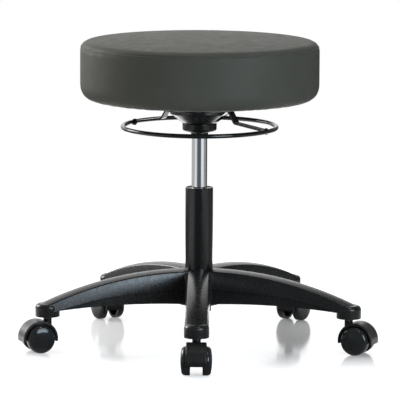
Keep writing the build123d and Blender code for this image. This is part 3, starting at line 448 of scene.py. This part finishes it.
def gathers(points, on_cover):
    """How far the cover is pulled up by its gathers: strongest at the underside's rim, and uneven
    round it."""
    rise = np.clip((points[:, 1] - cover_low.z) / PLEAT_START, 0, 1)
    outwards = np.clip((points[:, 0] - turned_radius) / TURNED_IN, 0, 1)
    strength = np.where(on_cover, (1 - rise) ** 2 * outwards, 0)
    pleats = []
    for step in range(SEGMENTS):
        angle = tau * step / SEGMENTS
        rim = Vector((cos(angle), sin(angle), 0)) * side_radius
        fold = abs(noise.noise(rim / FOLD_LENGTH))
        pleats.append(max(0, noise.noise(rim / PLEAT_LENGTH)) + FOLD_SHARE * fold)
    return PLEAT_DEPTH * strength[:, None] * np.array(pleats)[None, :]


def make_cushion():
    """The swollen and gathered cushion, with its seam pressed in."""
    outline, cover_start, seam = cushion_outline()
    length = distances(outline)[-1]
    near_seam = seam + SEAM_WIDTH * SEAM_RINGS
    even = np.linspace(0, length, round(length / FINE_STEP))
    along = np.sort(np.append(even[(even < near_seam[0]) | (even > near_seam[-1])], near_seam))
    points = sample(outline, along)
    radii, heights = whole_rings(points[:, 0]), whole_rings(points[:, 1])
    outward, upward, coarse = swell(outline, cover_start, seam)
    for step in range(SEGMENTS):
        radii[:, step] += np.interp(along, coarse, outward[:, step])
        heights[:, step] += np.interp(along, coarse, upward[:, step])
    heights += gathers(points, along >= cover_start)
    slope = np.gradient(points, along, axis=0)
    from_seam = (along - seam) / SEAM_WIDTH
    groove = SEAM_DEPTH * np.exp(-(from_seam**2))
    groove -= LIP_RISE * np.exp(-((from_seam + LIP_PLACE) ** 2))
    radii -= (groove * slope[:, 1])[:, None]
    heights += (groove * slope[:, 0])[:, None]
    cushion = lathe("seat_cushion", radii, heights)
    cushion.data.materials.append(SURFACES["seat_vinyl"])
    return cushion


cushion = make_cushion()
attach(cushion, "seat")
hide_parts("seat_cover", "seat_foam")


# Weld beads where the crossbar's ends meet the release ring

BAR_ANGLE = radians(-28)  # of the crossbar's right end, from straight right: minus is to the front
BEAD_RADIUS = 0.0034
BEAD_LENGTH = 0.015
BEAD_RISE = 0.0022  # of the upper beads above the wire's middle, and of the lower ones below it
BEAD_INSET = 0.8  # of the wire's radius, from its middle towards the column
BEAD_RINGS = 30
BEAD_SIDES = 14
BEAD_RIPPLES = 7
RIPPLE_SHARE = 0.1  # of the bead's radius
LUMP_SHARE = 0.15  # of the bead's radius
LUMPS = 400  # to the metre
END_LEAST = 0.05  # lowest value of the curve that thins out the ends
END_POWER = 0.4  # to which that curve is raised: the smaller, the blunter the ends

ring_low, ring_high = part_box("release_ring")
wire_radius = (ring_high.z - ring_low.z) / 2
ring_radius = ring_high.x - wire_radius
ring_height = (ring_high.z + ring_low.z) / 2


def weld_bead(name, angle, rise):
    """A rippled bead along the inner side of the ring's wire, thinning out at both ends."""
    mesh = bmesh.new()
    path_radius = ring_radius - BEAD_INSET * wire_radius
    rings = []
    for step in range(BEAD_RINGS + 1):
        share = step / BEAD_RINGS
        turn_angle = angle + (share - 0.5) * BEAD_LENGTH / path_radius
        outwards = Vector((cos(turn_angle), sin(turn_angle), 0))
        middle = outwards * path_radius + Vector((0, 0, ring_height + rise))
        lump = LUMP_SHARE * noise.noise(middle * LUMPS)
        ripple = 1 + RIPPLE_SHARE * sin(tau * BEAD_RIPPLES * share) + lump
        radius = BEAD_RADIUS * ripple * max(END_LEAST, sin(pi * share)) ** END_POWER
        ring = []
        for side in range(BEAD_SIDES):
            around = tau * side / BEAD_SIDES
            ring.append(mesh.verts.new(middle + radius * (cos(around) * outwards + sin(around) * UP)))
        rings.append(ring)
    join_rings(mesh, rings)
    mesh.faces.new(rings[0])
    mesh.faces.new(rings[-1])
    bmesh.ops.recalc_face_normals(mesh, faces=mesh.faces)
    bead = add_object(name, mesh)
    bead.data.materials.append(SURFACES["mount_black"])
    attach(bead, "release_ring")


for end_name, end_angle in (("right", BAR_ANGLE), ("left", BAR_ANGLE + pi)):
    weld_bead(f"weld_{end_name}_upper", end_angle, BEAD_RISE)
    weld_bead(f"weld_{end_name}_lower", end_angle, -BEAD_RISE)


# Floor, light and camera

WHITE = (1, 1, 1, 1)
FLOOR_RADIUS = 14
FLOOR_SIDES = 96
FLOOR_COLOUR = (0.86, 0.86, 0.86, 1)
FLOOR_ROUGHNESS = 0.6
FLOOR_GLOW = 0.58  # seen by the camera, so that the floor joins the white background
SHADOW_REACH = (0.7, 1.5)  # from the column: shadows fade out between these
POLISH = 0.75  # share of a mirror image in the floor, under and behind the stool
POLISH_ROUGHNESS = 0.12
POLISH_DEPTH = (-0.30, -0.08)  # from front to back, where the polish comes in
POLISH_REACH = (0.42, 0.62)  # from the column: the polish fades out between these
POLISH_GRAZING = (0.70, 0.81)  # how far the floor is turned from the eye where the polish comes in
GRAZING_BLEND = 0.5  # counts that turn evenly
WORN_SHARE = 0.6  # of the polish, at the left
WORN_REACH = (-0.15, 0.15)  # from left to right, where the full polish comes in
# Painted dark reflection: gloss sees the floor around the column this dark, though the camera sees it
# white. The dark floor named on the next line is this painted reflection.
DARK_REFLECTION = (0.05, 0.05, 0.05, 1)  # seen by gloss, around the column
DARK_REACH = (0.75, 0.95)  # from the column: between these the dark floor gives way to the near ring
RING_REACH = (1.6, 2.1)  # from the column: between these the near ring gives way to the far one

# What gloss sees on the floor, by degrees from the camera's side towards the right: the near ring
# of light shows in the column and the far one in the chrome
NEAR_RING = [
    (-180, (0.12, 0.12, 0.12)),
    (-125, (0.08, 0.08, 0.08)),
    (-100, (0.22, 0.22, 0.21)),
    (-82, (1.15, 1.15, 1.12)),
    (-48, (1.15, 1.15, 1.12)),
    (-33, (0.15, 0.15, 0.15)),
    (36, (0.06, 0.07, 0.07)),
    (54, (0.60, 0.62, 0.60)),
    (72, (0.98, 1.00, 0.98)),
    (94, (0.32, 0.32, 0.32)),
    (125, (0.25, 0.25, 0.25)),
    (180, (0.10, 0.10, 0.10)),
]
FAR_RING = [
    (-180, (0.35, 0.36, 0.37)),
    (-115, (0.62, 0.63, 0.63)),
    (-90, (0.50, 0.51, 0.52)),
    (-80, (0.40, 0.41, 0.42)),
    (-70, (0.90, 0.92, 0.92)),
    (-45, (0.90, 0.92, 0.92)),
    (-26, (0.12, 0.13, 0.15)),
    (20, (0.10, 0.12, 0.15)),
    (32, (0.95, 1.00, 1.05)),
    (62, (0.95, 0.97, 1.00)),
    (75, (0.32, 0.32, 0.32)),
    (105, (0.40, 0.40, 0.40)),
    (118, (0.05, 0.05, 0.06)),
    (180, (0.10, 0.10, 0.11)),
]
# Patches of the near floor that gloss sees lit: middle, radii of the fade, colour and strength
PATCHES = [
    ((0, 0.74, 0), (0.36, 0.54), (1.0, 1.0, 0.98, 1), 2.6),
    ((-0.45, 0.10, 0), (0.12, 0.31), WHITE, 2.0),
    ((0.45, 0.10, 0), (0.12, 0.31), WHITE, 1.1),
]

SKY = 0.43  # strength of the even light
ROOM_STRENGTH = (0.12, 1.2)  # in gloss, at the front and at the back
ROOM_DEPTH = (0.0, 0.75)  # from the middle towards the back, where the room turns light
PANEL_STRENGTH = (1.05, 0.2)  # by which the room is multiplied, left and right of the panel's edge
PANEL_EDGE = (0.10, 0.28)  # from the middle towards the right, where the panel turns dark


def emission(tree, colour, strength=1.0):
    """Light of a colour that is a constant or a node's output."""
    return add_node(tree, "ShaderNodeEmission", {"Color": colour, "Strength": strength}).outputs[0]


def mix(tree, share, first, second):
    """Blends from the first shader to the second."""
    return add_node(tree, "ShaderNodeMixShader", {0: share, 1: first, 2: second}).outputs[0]


def calculate(tree, operation, first, second):
    return add_node(tree, "ShaderNodeMath", {0: first, 1: second}, operation=operation).outputs[0]


def ring_of_light(tree, around, ring):
    """Light that goes through the ring's colours, for a share of a turn from back to back."""
    stops = [((degrees + 180) / 360, colour) for degrees, colour in ring]
    return emission(tree, shade(tree, around, stops))


def floor_in_gloss(tree, position, split, distance):
    """The studio that gloss mirrors: a painted dark reflection around the column, with lit patches,
    and two rings of light further out."""
    frontwards = calculate(tree, "MULTIPLY", split["Y"], -1.0)
    azimuth = calculate(tree, "ARCTAN2", split["X"], frontwards)
    around = spread(tree, azimuth, 0, 1, -pi, pi)
    near_ring = ring_of_light(tree, around, NEAR_RING)
    far_ring = ring_of_light(tree, around, FAR_RING)
    rings = mix(tree, spread(tree, distance, 0, 1, *RING_REACH), near_ring, far_ring)
    # painted dark reflection of the floor around the column
    dark = emission(tree, DARK_REFLECTION)
    mirrored = mix(tree, spread(tree, distance, 0, 1, *DARK_REACH), dark, rings)
    for middle, reach, colour, strength in PATCHES:
        gap = add_node(tree, "ShaderNodeVectorMath", {0: position, 1: middle}, operation="DISTANCE")
        share = spread(tree, gap.outputs["Value"], 1, 0, *reach)
        mirrored = mix(tree, share, mirrored, emission(tree, colour, strength))
    return mirrored


def floor_polish(tree, split, distance):
    """The share of a mirror image: it comes in behind the stool's front, near the column, at a
    grazing look, and less at the left."""
    facing = add_node(tree, "ShaderNodeLayerWeight", {"Blend": GRAZING_BLEND}).outputs["Facing"]
    polish = spread(tree, split["Y"], 0, POLISH, *POLISH_DEPTH)
    for share in (
        spread(tree, distance, 1, 0, *POLISH_REACH),
        spread(tree, facing, 0, 1, *POLISH_GRAZING),
        spread(tree, split["X"], WORN_SHARE, 1, *WORN_REACH),
    ):
        polish = calculate(tree, "MULTIPLY", polish, share)
    return polish


def make_floor():
    """A pale floor, polished behind the stool, that the camera sees fade to white. Gloss mirrors a
    studio in its place."""
    material, tree, shader = new_surface(
        "studio_floor", Base_Color=FLOOR_COLOUR, Roughness=FLOOR_ROUGHNESS, Specular_IOR_Level=0.0
    )
    matt = shader.outputs["BSDF"]
    position = add_node(tree, "ShaderNodeNewGeometry", {}).outputs["Position"]
    split = add_node(tree, "ShaderNodeSeparateXYZ", {"Vector": position}).outputs
    distance = add_node(tree, "ShaderNodeVectorMath", {0: position}, operation="LENGTH").outputs["Value"]
    mirror = add_node(tree, "ShaderNodeBsdfGlossy", {"Roughness": POLISH_ROUGHNESS}).outputs[0]
    lit = add_node(tree, "ShaderNodeAddShader", {0: matt, 1: emission(tree, WHITE, FLOOR_GLOW)}).outputs[0]
    polished = mix(tree, floor_polish(tree, split, distance), lit, mirror)
    faded = mix(tree, spread(tree, distance, 0, 1, *SHADOW_REACH), polished, emission(tree, WHITE))
    path = add_node(tree, "ShaderNodeLightPath", {}).outputs
    seen = mix(tree, path["Is Camera Ray"], matt, faded)
    mirrored = floor_in_gloss(tree, position, split, distance)
    whole = mix(tree, path["Is Glossy Ray"], seen, mirrored)
    tree.links.new(whole, tree.nodes["Material Output"].inputs["Surface"])
    mesh = bmesh.new()
    bmesh.ops.create_circle(mesh, cap_ends=True, segments=FLOOR_SIDES, radius=FLOOR_RADIUS)
    floor = add_object("floor", mesh)
    floor.data.materials.append(material)


def light_world():
    """An even sky. The camera sees white. Gloss sees white behind the stool, a dark panel behind its
    right side, and a darker room in front."""
    scene.world = bpy.data.worlds.new("studio")
    scene.world.use_nodes = True
    tree = scene.world.node_tree
    background = tree.nodes["Background"]
    direction = add_node(tree, "ShaderNodeTexCoord", {}).outputs["Generated"]
    split = add_node(tree, "ShaderNodeSeparateXYZ", {"Vector": direction}).outputs
    depth = spread(tree, split["Y"], *ROOM_STRENGTH, *ROOM_DEPTH)
    panel = spread(tree, split["X"], *PANEL_STRENGTH, *PANEL_EDGE)
    room = calculate(tree, "MULTIPLY", depth, panel)
    path = add_node(tree, "ShaderNodeLightPath", {}).outputs
    glossy = add_node(tree, "ShaderNodeMix", {0: path["Is Glossy Ray"], 2: SKY, 3: room}).outputs[0]
    seen = add_node(tree, "ShaderNodeMix", {0: path["Is Camera Ray"], 2: glossy, 3: 1.0}).outputs[0]
    background.inputs["Color"].default_value = WHITE
    tree.links.new(seen, background.inputs["Strength"])


def softbox(name, azimuth, distance, height, aim_height, size, power, colour, diffuse=True, gloss=True):
    """A soft lamp that faces the column. Azimuth 0 is the camera's side, and 90 the right."""
    lamp = bpy.data.objects.new(name, bpy.data.lights.new(name, "AREA"))
    lamp.data.shape = "RECTANGLE"
    lamp.data.size, lamp.data.size_y = size
    lamp.data.energy = power
    lamp.data.color = colour
    angle = radians(azimuth)
    lamp.location = (distance * sin(angle), -distance * cos(angle), height)
    towards = Vector((0, 0, aim_height)) - lamp.location
    lamp.rotation_mode = "QUATERNION"
    lamp.rotation_quaternion = towards.to_track_quat("-Z", "Y")
    lamp.visible_camera = False
    lamp.visible_diffuse = diffuse
    lamp.visible_glossy = gloss
    scene.collection.objects.link(lamp)


make_floor()
light_world()
softbox(
    "overhead",
    azimuth=170,
    distance=0.5,
    height=2.8,
    aim_height=0.3,
    size=(2.4, 2.4),
    power=36,
    colour=(1.0, 1.0, 0.98),
    gloss=False,
)
softbox(
    "right_window",
    azimuth=34,
    distance=2.6,
    height=0.85,
    aim_height=0.3,
    size=(1.2, 1.2),
    power=37,
    colour=(0.74, 0.88, 1.0),
)
softbox(
    "left_back",
    azimuth=-116,
    distance=2.4,
    height=1.25,
    aim_height=0.4,
    size=(1.2, 1.3),
    power=46,
    colour=(1.0, 1.0, 1.0),
)
softbox(
    "glint",
    azimuth=30,
    distance=1.2,
    height=2.4,
    aim_height=0.05,
    size=(0.25, 0.35),
    power=5,
    colour=(1.0, 1.0, 1.0),
    diffuse=False,
)

CAMERA_DISTANCE = 6.27
CAMERA_HEIGHT = 1.1898
CAMERA_SIDE = 0.0014
CAMERA_PITCH = radians(81.59)
CAMERA_AZIMUTH = radians(0.7)
CAMERA_ROLL = radians(0.28)
FOCAL_LENGTH = 315.2

camera = bpy.data.objects.new("camera", bpy.data.cameras.new("camera"))
camera.data.lens = FOCAL_LENGTH
turn = Matrix.Rotation(CAMERA_AZIMUTH, 4, "Z")
aim = Matrix.Rotation(CAMERA_PITCH, 4, "X") @ Matrix.Rotation(CAMERA_ROLL, 4, "Z")
camera.matrix_world = turn @ Matrix.Translation((CAMERA_SIDE, -CAMERA_DISTANCE, CAMERA_HEIGHT)) @ aim
scene.collection.objects.link(camera)
scene.camera = camera
scene.view_settings.view_transform = "Standard"
